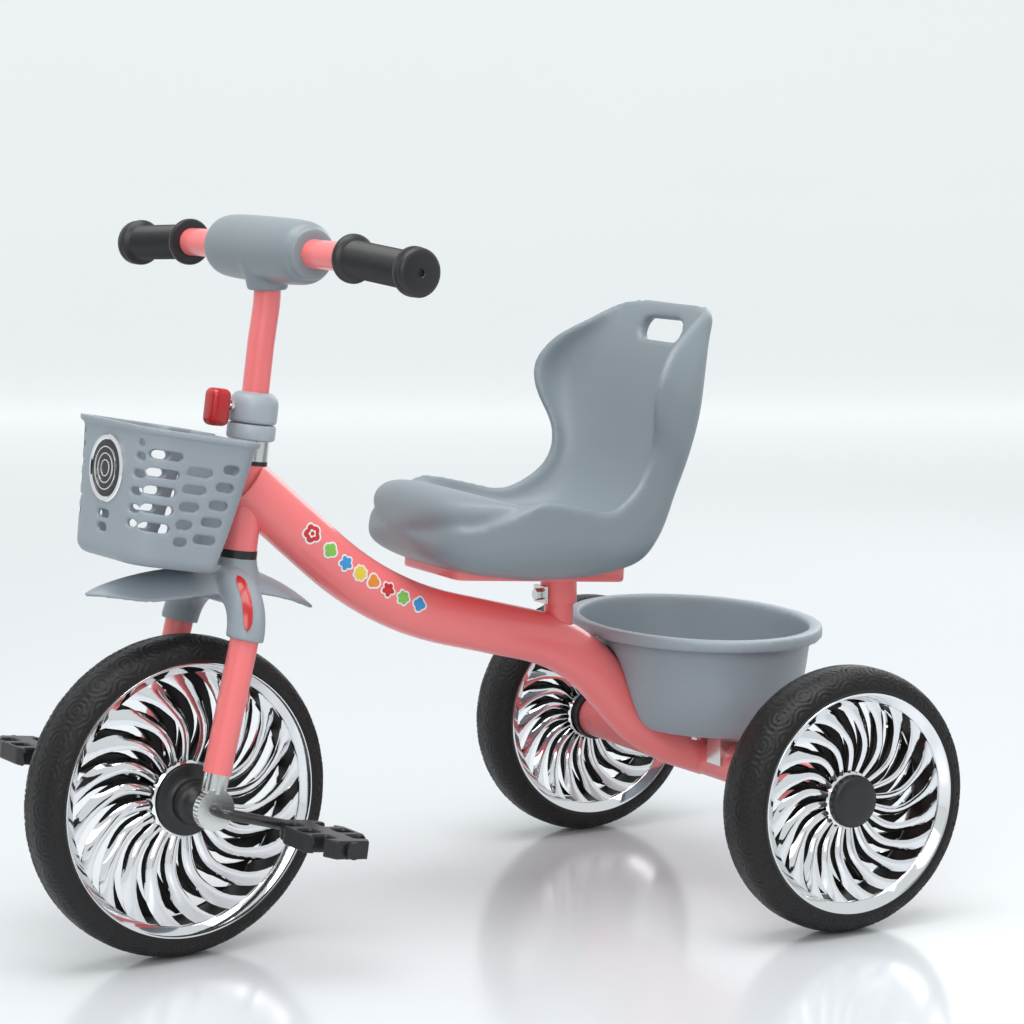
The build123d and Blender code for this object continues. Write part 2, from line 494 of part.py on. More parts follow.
def make_handlebar():
    """Stem, cross tube, two-piece cover over the joint, and ribbed grips."""
    foot = AXIS_ORIGIN + AXIS_DIRECTION * 45
    bend = AXIS_ORIGIN + AXIS_DIRECTION * 172
    points = [tuple(foot), tuple(bend), (404.2, 0, 502), (BAR_X, 0, BAR_Z)]
    stem = tube(points, (70, 90), STEM_RADIUS, STEM_RADIUS - 1.6)
    bar_frame = Plane(origin=(BAR_X, 0, BAR_Z), x_dir=(1, 0, 0), z_dir=(0, 1, 0))
    bar = bar_frame * Cylinder(TUBE_RADIUS, 2 * BAR_HALF, align=BOTH)
    NODES["stem"] = stem - bar
    NODES["handlebar_tube"] = bar - bar_frame * Cylinder(TUBE_RADIUS - 1.5, 2 * BAR_HALF + 2, align=BOTH)
    centre = Vector(BAR_X, 0, BAR_Z)
    outside = [(17, COVER_HALF), (20, COVER_HALF - 4), (21, COVER_HALF - 14), (26, 40), (28, 0)]
    inside = [(16, COVER_HALF - 4), (23, 38), (25, 0)]
    profile = [(0, COVER_HALF)] + outside + [(r, -w) for r, w in reversed(outside[:-1])]
    profile.append((0, -COVER_HALF))
    hollow = [(0, COVER_HALF - 4)] + inside + [(r, -w) for r, w in reversed(inside[:-1])]
    hollow.append((0, 4 - COVER_HALF))
    neck_length = 23
    neck = Pos(BAR_X + 1, 0, BAR_Z - neck_length) * Cone(15, 24, neck_length, align=UP)
    shell = turned(profile, centre) + neck
    shell -= turned(hollow, centre) + bar_frame * Cylinder(TUBE_RADIUS + SNUG_GAP, 300, align=BOTH)
    shell -= Pos(BAR_X + 1, 0, BAR_Z - 40) * Cylinder(STEM_RADIUS + 1.2, 60, align=UP)
    for name, side in (("front", 1), ("back", -1)):
        half_space = Pos(BAR_X + side * 50.1, 0, BAR_Z) * Box(100, 400, 200)
        NODES["handlebar_cover_" + name] = largest(shell & half_space)
    low, high, bore = GRIP_INNER_Y, GRIP_OUTER_Y, TUBE_RADIUS + SNUG_GAP
    grip = [(bore, low - 3), (15, low - 3), (17, low - 1), (17, low + 3), (14, low + 5), (14, high - 13),
            (17, high - 11), (17, high - 7.5), (15.5, high - 6.5), (17, high - 5.5), (17, high - 2),
            (14, high), (0, high), (0, BAR_HALF + 0.3), (bore, BAR_HALF + 0.3)]
    for name, side in (("left", 1), ("right", -1)):
        NODES["grip_" + name] = turned([(r, side * w) for r, w in grip], centre)


# Front basket ---------------------------------------------------------------------------
def basket_layer(back, front, side, height, radius):
    return Plane(origin=((back + front) / 2, 0, height)) * RectangleRounded(front - back, 2 * side, radius)


def make_basket():
    """A moulded open basket with rows of slots, and a round badge on its front."""
    length, half, depth, wall = BASKET_LENGTH, BASKET_HALF_WIDTH, BASKET_DEPTH, BASKET_WALL
    outer = loft([basket_layer(12, length - 9, half - 13, -depth, 18),
                  basket_layer(1, length - 1, half - 1, 0, 22)])
    inner = loft([basket_layer(12 + wall, length - 9 - wall, half - 13 - wall, -depth + wall, 16),
                  basket_layer(1 + wall, length - 1 - wall, half - 1 - wall, 0.01, 20)])
    lip = extrude(basket_layer(0, length + 2, half + 2, 0, 24), -3)
    basket = outer + lip - inner
    slot_height = 5.4
    for height in (-24, -36, -48, -60, -72):
        for x, width in ((28, 14), (47, 17), (68, 16)):
            side_slot = extrude(SlotOverall(width, slot_height), 100, both=True)
            basket -= Pos(x, 0, height) * Rotation(90, 0, 0) * side_slot
        for y in (-40, 40):
            front_slot = extrude(SlotOverall(12, slot_height), 100)
            basket -= Pos(60, y, height) * Rotation(0, 90, 0) * Rotation(0, 0, 90) * front_slot
    bracket_slot = Pos(0, 0, -16) * Box(20, 35, 3.4)
    basket -= bracket_slot
    place = tilted(BASKET_REAR_X, BASKET_REAR_Z, BASKET_TILT)
    NODES["front_basket"] = place * basket
    face_lean = math.radians(4.9)
    badge_frame = Plane(origin=(length - 4.5, 0, -34), x_dir=(0, 1, 0),
                        z_dir=(math.cos(face_lean), 0, -math.sin(face_lean)))
    NODES["basket_badge"] = place * (badge_frame * Cylinder(25, 2.4, align=UP) - outer)


def export(parts):
    """Turn the front end to its rest angle, centre the tricycle, and write every node."""
    steered = ("fork", "front", "basket", "collar", "stem", "clamp", "handlebar", "grip", "crank", "pedal")
    for name in parts:
        if name.startswith(steered):
            parts[name] = parts[name].rotate(STEERING_AXIS, REST_STEER)
    box = Compound(children=[Compound(shape.solids()) for shape in parts.values()]).bounding_box()
    middle = (box.min.X + box.max.X) / 2
    os.makedirs("parts", exist_ok=True)
    for name, shape in parts.items():
        solids = shape.solids()
        whole = Compound(solids) if len(solids) > 1 else solids[0]
        export_step(whole.moved(Location((-middle, 0, 0))), "parts/%s.step" % name)


make_frame()
make_seat_post()
make_headset()
make_seat()
make_seat_mounting()
make_basin()
make_rear_wheel("rear_left", 1)
make_rear_wheel("rear_right", -1)
make_front_wheel()
make_pedals()
make_fork()
make_fender()
make_collar()
make_basket_bracket()
make_handlebar()
make_basket()
export(NODES)
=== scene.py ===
import bmesh
import bpy
import json
import math
from mathutils import Matrix, Vector


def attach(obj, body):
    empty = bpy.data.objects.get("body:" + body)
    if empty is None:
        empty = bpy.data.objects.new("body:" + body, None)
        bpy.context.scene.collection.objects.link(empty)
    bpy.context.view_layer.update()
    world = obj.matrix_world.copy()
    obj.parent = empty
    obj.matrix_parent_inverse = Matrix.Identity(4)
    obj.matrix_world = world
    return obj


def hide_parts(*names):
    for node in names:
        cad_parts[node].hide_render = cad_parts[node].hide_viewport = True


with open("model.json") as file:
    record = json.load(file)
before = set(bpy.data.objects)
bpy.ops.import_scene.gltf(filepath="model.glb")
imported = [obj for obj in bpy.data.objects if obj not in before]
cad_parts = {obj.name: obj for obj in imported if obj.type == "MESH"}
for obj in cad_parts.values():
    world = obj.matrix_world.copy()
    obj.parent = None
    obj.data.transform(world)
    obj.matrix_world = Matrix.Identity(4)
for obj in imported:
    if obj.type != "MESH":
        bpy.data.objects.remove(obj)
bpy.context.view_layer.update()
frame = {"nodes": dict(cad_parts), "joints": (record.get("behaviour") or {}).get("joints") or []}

# Where things are -------------------------------------------------------------------
# The tricycle is set out from the ground under the middle of the rear axle, in mm.
# Everything on the fork is made straight ahead and then turned to the rest angle.
MM = 0.001
joints = {joint["name"]: joint for joint in frame["joints"]}
REAR_AXLE_X = joints["rear_left_wheel_spin"]["pos_m"][0]
STANDING = Matrix.Translation((REAR_AXLE_X, 0, 0)) @ Matrix.Scale(MM, 4)
REST_STEER = math.radians(6)
steer_pivot = Vector(joints["steer"]["pos_m"])
steer_axis = Vector(joints["steer"]["axis"])
TURNED = (Matrix.Translation(steer_pivot) @ Matrix.Rotation(REST_STEER, 4, steer_axis)
          @ Matrix.Translation(-steer_pivot) @ STANDING)

# Camera -----------------------------------------------------------------------------
# A long lens from ahead of the tricycle, off its left side, a little above the bars.
YAW, PITCH, ROLL = 0.51514, 0.13462, -0.00089
LENS_MM = 107.254
camera = bpy.data.objects.new("camera", bpy.data.cameras.new("camera"))
bpy.context.scene.collection.objects.link(camera)
forward = Vector((-math.sin(YAW) * math.cos(PITCH), -math.cos(YAW) * math.cos(PITCH), -math.sin(PITCH)))
right = forward.cross(Vector((0, 0, 1))).normalized()
upward = right.cross(forward)
right, upward = (math.cos(ROLL) * right + math.sin(ROLL) * upward,
                 math.cos(ROLL) * upward - math.sin(ROLL) * right)
facing = Matrix((right, upward, -forward)).transposed().to_4x4()
camera.matrix_world = Matrix.Translation(STANDING @ Vector((1393.73, 2128.74, 655.61))) @ facing
camera.data.lens = LENS_MM
camera.data.clip_start = 0.05
bpy.context.scene.camera = camera

# Finishes ---------------------------------------------------------------------------
# Every moulded or painted surface varies a little in colour and gloss, and has a
# fine grain. The group gives that; each material sets its own values.


def node_group_surface():
    group = bpy.data.node_groups.new("surface_play", "ShaderNodeTree")
    sockets = (("Color", "NodeSocketColor"), ("Shade Color", "NodeSocketColor"), ("Roughness",
                                                                                  "NodeSocketFloat"),
               ("Roughness Spread", "NodeSocketFloat"), ("Patch Scale", "NodeSocketFloat"),
               ("Grain Scale", "NodeSocketFloat"))
    for name, kind in sockets:
        group.interface.new_socket(name, in_out="INPUT", socket_type=kind)
    for name, kind in (("Color", "NodeSocketColor"), ("Roughness", "NodeSocketFloat"), ("Height",
                                                                                        "NodeSocketFloat")):
        group.interface.new_socket(name, in_out="OUTPUT", socket_type=kind)
    nodes, links = group.nodes, group.links
    given, result = nodes.new("NodeGroupInput"), nodes.new("NodeGroupOutput")
    place = nodes.new("ShaderNodeTexCoord")
    patch, grain = nodes.new("ShaderNodeTexNoise"), nodes.new("ShaderNodeTexNoise")
    patch.inputs["Detail"].default_value = 4
    grain.inputs["Detail"].default_value = 3
    links.new(place.outputs["Object"], patch.inputs["Vector"])
    links.new(place.outputs["Object"], grain.inputs["Vector"])
    links.new(given.outputs["Patch Scale"], patch.inputs["Scale"])
    links.new(given.outputs["Grain Scale"], grain.inputs["Scale"])
    tint = nodes.new("ShaderNodeMix")
    tint.data_type = "RGBA"
    links.new(patch.outputs["Fac"], tint.inputs["Factor"])
    links.new(given.outputs["Color"], tint.inputs[6])
    links.new(given.outputs["Shade Color"], tint.inputs[7])
    links.new(tint.outputs[2], result.inputs["Color"])
    swing = nodes.new("ShaderNodeMath")
    swing.operation = "SUBTRACT"
    swing.inputs[1].default_value = 0.5
    links.new(patch.outputs["Fac"], swing.inputs[0])
    gloss = nodes.new("ShaderNodeMath")
    gloss.operation = "MULTIPLY_ADD"
    links.new(swing.outputs[0], gloss.inputs[0])
    links.new(given.outputs["Roughness Spread"], gloss.inputs[1])
    links.new(given.outputs["Roughness"], gloss.inputs[2])
    links.new(gloss.outputs[0], result.inputs["Roughness"])
    links.new(grain.outputs["Fac"], result.inputs["Height"])
    return group


surface_play = node_group_surface()


def finish(name, colour, shade, roughness, spread=0.1, patch=14, grain=900, bump=0.05, metallic=0.0,
           coat=0.0):
    """A material in one colour that drifts towards a shade, with patchy gloss and grain."""
    material = bpy.data.materials.new(name)
    material.use_nodes = True
    nodes, links = material.node_tree.nodes, material.node_tree.links
    shader = nodes["Principled BSDF"]
    play = nodes.new("ShaderNodeGroup")
    play.node_tree = surface_play
    play.inputs["Color"].default_value = (*colour, 1)
    play.inputs["Shade Color"].default_value = (*shade, 1)
    play.inputs["Roughness"].default_value = roughness
    play.inputs["Roughness Spread"].default_value = spread
    play.inputs["Patch Scale"].default_value = patch
    play.inputs["Grain Scale"].default_value = grain
    relief = nodes.new("ShaderNodeBump")
    relief.inputs["Strength"].default_value = bump
    relief.inputs["Distance"].default_value = 0.0006
    links.new(play.outputs["Color"], shader.inputs["Base Color"])
    links.new(play.outputs["Roughness"], shader.inputs["Roughness"])
    links.new(play.outputs["Height"], relief.inputs["Height"])
    links.new(relief.outputs["Normal"], shader.inputs["Normal"])
    shader.inputs["Metallic"].default_value = metallic
    shader.inputs["Coat Weight"].default_value = coat
    shader.inputs["Coat Roughness"].default_value = 0.08
    return material


pink_paint = finish("pink_powder_coat", (0.93, 0.205, 0.205), (0.87, 0.18, 0.185), 0.30, coat=0.45, patch=9,
                    grain=1500)
grey_plastic = finish("grey_moulded_plastic", (0.315, 0.355, 0.390), (0.280, 0.318, 0.352), 0.40, patch=7,
                      grain=1300, bump=0.10)
pale_grey_plastic = finish("pale_grey_moulded_plastic", (0.235, 0.272, 0.292), (0.208, 0.243, 0.264), 0.36,
                           patch=9)
black_plastic = finish("black_moulded_plastic", (0.010, 0.010, 0.011), (0.018, 0.018, 0.019), 0.38, patch=30,
                       bump=0.12)
chrome = finish("plated_plastic", (0.86, 0.87, 0.88), (0.80, 0.81, 0.83), 0.055, spread=0.03, patch=22,
                grain=500,
                bump=0.012, metallic=1.0)
zinc = finish("zinc_plated_steel", (0.74, 0.75, 0.74), (0.62, 0.63, 0.61), 0.20, spread=0.15, patch=60,
              metallic=1.0)
black_rod = finish("black_coated_rod", (0.014, 0.014, 0.015), (0.03, 0.03, 0.032), 0.25, patch=60, coat=0.3)

# Frame --------------------------------------------------------------------------------
# Bent steel main tube, head tube and rear cross tube, welded and powder coated pink,
# with the seat stub and tray, black bushes and plated screws. These keep their shape.
paint_nodes = ("main_tube", "head_tube", "rear_axle_tube", "seat_post", "fork", "stem")
black_nodes = ("axle_bush_left", "axle_bush_right", "lower_headset_bush", "upper_headset_bush",
               "rear_left_hub", "rear_right_hub", "rear_left_inner_spacer", "rear_right_inner_spacer",
               "pedal_cap_left", "pedal_cap_right")
zinc_nodes = ("rear_axle", "seat_bolts", "post_clamp_plate", "post_clamp_bolt", "basin_screws",
              "basin_brackets", "fork_end_left", "fork_end_right", "basket_bracket", "clamp_bolt")


def keep_shape(names, material):
    """These nodes stay as they are and only take a better finish."""
    for name in names:
        node = frame["nodes"][name]
        node.data.materials.clear()
        node.data.materials.append(material)


keep_shape(paint_nodes, pink_paint)
keep_shape(black_nodes, black_plastic)
keep_shape(zinc_nodes, zinc)
keep_shape(("crank",), black_rod)


# Stickers -------------------------------------------------------------------------------
# A row of small printed stickers down both sides of the main tube, each a coloured shape
# on a white border: a ringed flower, then stars and dots.
TUBE_START, TUBE_SLOPE, TUBE_SHOULDER, TUBE_BEND, TUBE_R = Vector((427, 0, 364)), 42.02, 92.9, 270.0, 21.4
sticker_colours = {"white": (0.86, 0.87, 0.86), "red": (0.62, 0.02, 0.025), "green": (0.22, 0.55, 0.08),
                   "blue": (0.04, 0.30, 0.66), "yellow": (0.85, 0.62, 0.05), "orange": (0.85, 0.27, 0.03)}


def on_tube(along, up, side, lift):
    """A point on the main tube: mm along from the head, mm up round it from its flank."""
    slope = math.radians(TUBE_SLOPE)
    back, rise = Vector((-math.cos(slope), 0, -math.sin(slope))), Vector((-math.sin(slope), 0,
                                                                          math.cos(slope)))
    straight = min(along, TUBE_SHOULDER)
    turn = max(0.0, along - TUBE_SHOULDER) / TUBE_BEND
    middle = TUBE_START + back * (straight + TUBE_BEND * math.sin(turn)) + rise * TUBE_BEND * (1 - math.cos(turn))
    normal = rise * math.cos(turn) - back * math.sin(turn)
    angle = up / TUBE_R
    return middle + (TUBE_R + lift) * (normal * math.sin(angle) + Vector((0, side, 0)) * math.cos(angle))


def sticker(name, colour, along, up, reach, points, dent, lift):
    """A flat star, flower or dot bent round the tube; both sides of the tube get one."""
    for word, side in (("left", 1), ("right", -1)):
        bm = bmesh.new()
        bmesh.ops.create_circle(bm, cap_ends=False, radius=1.0, segments=40)
        edges = bm.edges[:]
        for scale in (0.8, 0.55, 0.3, 0.08):
            ring = bmesh.ops.extrude_edge_only(bm, edges=edges)
            edges = [e for e in ring["geom"] if isinstance(e, bmesh.types.BMEdge)]
            verts = [v for v in ring["geom"] if isinstance(v, bmesh.types.BMVert)]
            now = verts[0].co.length
            bmesh.ops.scale(bm, verts=verts, vec=(scale / now, scale / now, 1))
        bmesh.ops.holes_fill(bm, edges=edges, sides=0)
        for vert in bm.verts:
            r, a = vert.co.length, math.atan2(vert.co.y, vert.co.x)
            r *= reach * (1 - dent + dent * abs(math.cos(0.5 * points * a)))
            vert.co = on_tube(along + r * math.cos(a), up + r * math.sin(a), side, lift)
        bmesh.ops.recalc_face_normals(bm, faces=bm.faces)
        if sum(face.normal.y for face in bm.faces) * side < 0:
            bmesh.ops.reverse_faces(bm, faces=bm.faces)
        mesh = bpy.data.meshes.new(name)
        bm.transform(STANDING)
        bm.to_mesh(mesh)
        bm.free()
        mesh.shade_smooth()
        piece = bpy.data.objects.new("%s_%s" % (name, word), mesh)
        bpy.context.scene.collection.objects.link(piece)
        mesh.materials.append(sticker_ink[colour])
        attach(piece, "frame")


sticker_ink = {word: finish("sticker_" + word, tint, [0.85 * c for c in tint], 0.35, patch=40, bump=0.02,
                            coat=0.3)
               for word, tint in sticker_colours.items()}
# name, colour, mm along, mm up, reach in mm, points, depth of the notches
stickers = (("flower", "red", 64, 2.2, 7.4, 5, 0.22), ("leaf_green", "green", 85, 2.2, 5.8, 4, 0.25),
            ("star_blue", "blue", 102.5, 2.6, 5.8, 5, 0.35), ("sun_yellow", "yellow", 118, 3.5, 5.8, 8, 0.2),
            ("petal_orange", "orange", 132, 4.1, 5.6, 3, 0.25), ("star_red", "red", 147, 4.5, 5.8, 5, 0.35),
            ("leaf_green_low", "green", 162.5, 4.4, 5.6, 6, 0.25), ("petal_blue", "blue", 178.5, 4.6, 5.6, 4,
                                                                    0.25))
for name, colour, along, up, reach, points, dent in stickers:
    sticker(name + "_border", "white", along, up, reach + 1.5, points, dent * 0.8, 0.12)
    sticker(name, colour, along, up, reach, points, dent, 0.22)
sticker("flower_centre", "white", stickers[0][2], stickers[0][3], 3.4, 5, 0.3, 0.32)
sticker("flower_heart", "red", stickers[0][2], stickers[0][3], 1.7, 1, 0.0, 0.42)

# Tyres --------------------------------------------------------------------------------
# Black foamed rubber rings: a smooth sidewall band, a round shoulder engraved with
# nested arcs, and a narrow plain tread.
def finish_piece(bm, name, material, body, stands_for, place, crease=35):
    """Welds a mesh, sets it in place, and hands it over as one piece on its body."""
    bmesh.ops.remove_doubles(bm, verts=bm.verts, dist=0.002)
    bm.transform(place)
    bm.normal_update()
    bmesh.ops.recalc_face_normals(bm, faces=bm.faces)
    mesh = bpy.data.meshes.new(name)
    bm.to_mesh(mesh)
    bm.free()
    mesh.shade_smooth()
    mesh.set_sharp_from_angle(angle=math.radians(crease))
    piece = bpy.data.objects.new(name, mesh)
    bpy.context.scene.collection.objects.link(piece)
    mesh.materials.append(material)
    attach(piece, body)
    if stands_for:
        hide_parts(*stands_for)
    return piece


def turned(profile, steps=96, closed=True):
    """A shape turned about the wheel's axis from (radius, offset to the left) points."""
    bm = bmesh.new()
    verts = [bm.verts.new((0, offset, radius)) for radius, offset in profile]
    edges = [bm.edges.new(pair) for pair in zip(verts, verts[1:])]
    if closed:
        edges.append(bm.edges.new((verts[-1], verts[0])))
    bmesh.ops.spin(bm, geom=verts + edges, cent=(0, 0, 0), axis=(0, 1, 0), dvec=(0, 0, 0),
                   angle=math.tau, steps=steps, use_merge=True)
    bmesh.ops.remove_doubles(bm, verts=bm.verts, dist=0.002)
    return bm


TYRE_HALF = 24.4
SHOULDER = 14.0
TREAD_HALF = 4.0
rubber = finish("tyre_rubber", (0.009, 0.0085, 0.0087), (0.015, 0.014, 0.0145), 0.44, spread=0.16, patch=25,
                grain=1100, bump=0.2)
rubber.node_tree.nodes["Principled BSDF"].inputs["Specular IOR Level"].default_value = 0.32


def engraving(around, across):
    """Depth of the engraved arcs at a place on the shoulder, in mm."""
    pitch, row, line, reach = 27.0, 8.5, 4.2, 17.0
    depth = 0.0
    for shift, level in ((0.0, 0.0), (0.5, 1.0)):
        centre = (math.floor(around / pitch - shift) + 0.5 + shift) * pitch
        away = math.hypot(around - centre, (across - level * 2 * row) * 1.15)
        if away < reach:
            ridge = math.cos(math.tau * away / line)
            depth = max(depth, 0.95 * max(0.0, ridge) ** 2)
    return depth


def make_tyre(name, radius, rim, body, place, steps):
    half = [(rim - 1.5, TYRE_HALF - 3), (rim - 0.5, TYRE_HALF - 1.2), (rim + 0.8, TYRE_HALF - 0.5),
            (rim + 2.5, TYRE_HALF), (radius - SHOULDER - 1.4, TYRE_HALF + 0.1), (radius - SHOULDER - 0.7,
                                                                                 TYRE_HALF - 0.5),
            (radius - SHOULDER, TYRE_HALF - 0.5)]
    arcs = 24
    for i in range(1, arcs + 1):
        turn = 0.5 * math.pi * i / arcs
        half.append((radius - SHOULDER + SHOULDER * math.sin(turn),
                     TREAD_HALF + (TYRE_HALF - 0.5 - TREAD_HALF) * math.cos(turn)))
    half.append((radius, 0.6))
    profile = half + [(r, -w) for r, w in reversed(half)]
    bm = turned(profile, steps, closed=False)
    for vert in bm.verts:
        r = math.hypot(vert.co.x, vert.co.z)
        if r > radius - SHOULDER + 0.6 and abs(vert.co.y) > TREAD_HALF + 0.5:
            around = math.atan2(vert.co.x, vert.co.z) * radius
            slope = math.acos(min(1.0, (abs(vert.co.y) - TREAD_HALF) / (TYRE_HALF - TREAD_HALF)))
            across = slope * 17.0
            pressed = engraving(around, across)
            vert.co.y -= math.copysign(pressed * math.cos(slope), vert.co.y)
            vert.co.x *= 1 - pressed * math.sin(slope) / r
            vert.co.z *= 1 - pressed * math.sin(slope) / r
        elif r > radius - 1 and abs(vert.co.y) <= TREAD_HALF + 0.5 and abs(vert.co.y) > 1:
            block = 0.4 if math.sin(math.atan2(vert.co.x, vert.co.z) * 120) > 0 else 0.0
            vert.co.x *= 1 - block / r
            vert.co.z *= 1 - block / r
    finish_piece(bm, name + "_tread", rubber, body, (name + "_tyre",), place, 60)


# name, tyre radius, rim radius, centre, body, setting, steps round the tyre
wheels = (
    ("front_wheel", 125.0, 107.9, (486.7, 0, 125), "front_wheel", TURNED, 560),
    ("rear_left", 106.2, 89.1, (0, 199.5, 106.2), "rear_left_wheel", STANDING, 470),
    ("rear_right", 106.2, 89.1, (0, -199.5, 106.2), "rear_right_wheel", STANDING, 470),
)
for name, radius, rim, centre, body, setting, steps in wheels:
    make_tyre(name, radius, rim, body, setting @ Matrix.Translation(centre), steps)


# Rims and bladed discs ------------------------------------------------------------------
# Plated plastic: each side has a wide bright lip and a dish of curved blades like a
# turbine's, with a black barrel between the two sides.
BLADES = 20
LIP = 9.0
barrel_black = finish("barrel_black", (0.006, 0.006, 0.006), (0.012, 0.012, 0.012), 0.5, patch=20)


def make_lips(name, rim, body, place):
    edge = TYRE_HALF - 1.1
    for side, word in ((1, "left"), (-1, "right")):
        lip = [(rim, edge - 2.0), (rim - 0.2, edge - 0.4), (rim - 1.0, edge + 0.4), (rim - 2.2, edge + 0.2),
               (rim - 3.2, edge - 1.0), (rim - LIP + 0.6, edge - 4.2), (rim - LIP, edge - 5.2),
               (rim - LIP - 0.4, edge - 7.5), (rim - LIP + 1.2, edge - 8.0), (rim - LIP + 2.4, edge - 6.5),
               (rim - 3.4, edge - 3.6)]
        bm = turned([(r, side * w) for r, w in lip], 144)
        finish_piece(bm, "%s_%s_lip" % (name, word), chrome, body, (), place, 50)
    wall = [(rim - LIP + 2.6, edge - 6.0), (rim - LIP + 1.2, edge - 6.0), (rim - LIP + 1.2, 6.0 - edge),
            (rim - LIP + 2.6, 6.0 - edge)]
    finish_piece(turned(wall, 96), name + "_barrel", barrel_black, body, (name + "_rim",),
                 place)


def make_blades(name, rim, hub, depth, side, body, place, stands_for):
    """Twenty curved blades from the hub ring out to the lip, each crowned and twisted."""
    outer = rim - LIP + 0.3
    along, across = 14, 6
    out_offset, hub_offset = TYRE_HALF - 7.2, depth
    bm = bmesh.new()
    bmesh.ops.create_grid(bm, x_segments=along, y_segments=across, size=1.0)
    for vert in bm.verts:
        u, v = 0.5 * (vert.co.x + 1), vert.co.y
        r = hub + (outer - hub) * u
        sweep = math.radians(-3.0 * math.sin(math.pi * min(1.0, u * 1.6)) + 27.0 * u ** 2.2)
        pitch = math.tau * r / BLADES
        half = 0.5 * pitch * (0.86 - 0.28 * math.sin(0.62 * math.pi * min(1.0, u * 1.05)))
        crown = 3.4 * (1 - v * v) * math.sin(math.pi * min(1.0, 0.12 + 0.85 * u))
        twist = 3.0 * v * math.sin(math.pi * min(1.0, 0.1 + 0.9 * u))
        offset = hub_offset + (out_offset - hub_offset) * u ** 1.5 + crown + twist
        turn = sweep + v * half / r
        vert.co = Vector((-r * math.cos(turn), side * offset, r * math.sin(turn)))
    blade = bm.faces[:]
    bmesh.ops.recalc_face_normals(bm, faces=blade)
    lean = sum((face.normal.y for face in blade)) * side
    if lean < 0:
        bmesh.ops.reverse_faces(bm, faces=blade)
    bmesh.ops.solidify(bm, geom=blade, thickness=1.8)
    first = bm.verts[:] + bm.edges[:] + bm.faces[:]
    for i in range(1, BLADES):
        copy = bmesh.ops.duplicate(bm, geom=first)
        bmesh.ops.rotate(bm, verts=[v for v in copy["geom"] if isinstance(v, bmesh.types.BMVert)],
                         cent=(0, 0, 0), matrix=Matrix.Rotation(math.tau * i / BLADES, 3, "Y"))
    piece = finish_piece(bm, name, chrome, body, stands_for, place, 60)
    piece.data.materials.append(barrel_black)
    back = (place.to_3x3() @ Vector((0, -side, 0))).normalized()
    for polygon in piece.data.polygons:
        if polygon.normal.dot(back) > 0.35:
            polygon.material_index = 1
    ring = [(hub + 3, side * (hub_offset + 1.2)), (hub + 1, side * (hub_offset + 2.6)), (hub - 6,
                                                                                         side * (hub_offset + 2.0)),
            (hub - 6, side * (hub_offset - 2.5)), (hub + 3, side * (hub_offset - 1.5))]
    finish_piece(turned(ring, 96), name + "_ring", chrome, body, (), place)


for name, radius, rim, centre, body, setting, steps in wheels:
    place = setting @ Matrix.Translation(centre)
    make_lips(name, rim, body, place)
    if name == "front_wheel":
        discs = ((1, "left", "front_left_disc"), (-1, "right", "front_right_disc"))
        hub, depth = 27, 13.0
    else:
        outside = 1 if name == "rear_left" else -1
        discs = ((outside, "outer", name + "_outer_disc"), (-outside, "inner", name + "_inner_disc"))
        hub, depth = 20, 7.5
    for side, word, node in discs:
        make_blades("%s_%s_blades" % (name, word), rim, hub, depth, side, body, place, (node,))

# Hubs ---------------------------------------------------------------------------------
# Black mouldings: stepped cones each side of the front wheel, a thick round cap outside
# each rear wheel.
front_place = TURNED @ Matrix.Translation((486.7, 0, 125))
for side, word in ((1, "left"), (-1, "right")):
    cone = [(4.35, 10), (12, 10), (12, 16.4), (26, 16.4), (27.6, 17.2), (28, 18.4), (27.4, 19.6), (25, 20.3),
            (22, 20.6), (19, 21.5), (17.4, 23), (17, 25), (17, 29), (16.2, 30.2), (14, 31), (12.5, 32.5),
            (11.8, 34),
            (10, 36), (7.6, 38), (7.4, 51), (4.35, 51.3)]
    finish_piece(turned([(r, side * w) for r, w in cone], 96), "front_%s_hub" % word, black_plastic,
                 "front_wheel",
                 ("front_%s_hub_cone" % word,), front_place)
for name, side in (("rear_left", 1), ("rear_right", -1)):
    cap = [(0, 18.2), (12, 18.2), (17.5, 17.9), (19.6, 17.0), (20.8, 15.4), (21, 13.5), (21, 9.4), (18, 9.4),
           (18, 13.8),
           (0, 13.8)]
    place = STANDING @ Matrix.Translation((0, side * 199.5, 106.2))
    finish_piece(turned([(r, side * w) for r, w in cap], 96), name + "_cap", black_plastic, name + "_wheel",
                 (name + "_hub_cap",), place)


# Seat ---------------------------------------------------------------------------------
# Grey bucket seat blown in one piece: a deep dished pan with rolled sides that sweeps up
# into a winged back, softly rounded everywhere, with a hand slot near the top.
def blended(rows, u):
    """A row between the given rows, u from 0 to 1, on a smooth curve through them all."""
    at = min(max(u, 0.0), 1.0) * (len(rows) - 1)
    i = min(int(at), len(rows) - 2)
    f = at - i
    before, start, end, after = (rows[min(max(i + k, 0), len(rows) - 1)] for k in (-1, 0, 1, 2))
    return [0.5 * (2 * q + (r - p) * f + (2 * p - 5 * q + 4 * r - w) * f * f + (3 * q - p - 3 * r + w) * f ** 3)
            for p, q, r, w in zip(before, start, end, after)]


def gathered(parts):
    """Several closed meshes as one bmesh."""
    whole = bmesh.new()
    for part in parts:
        part.normal_update()
        bmesh.ops.recalc_face_normals(part, faces=part.faces)
        if part.calc_volume(signed=True) < 0:
            bmesh.ops.reverse_faces(part, faces=part.faces)
        mesh = bpy.data.meshes.new("part")
        part.to_mesh(mesh)
        part.free()
        whole.from_mesh(mesh)
        bpy.data.meshes.remove(mesh)
    return whole


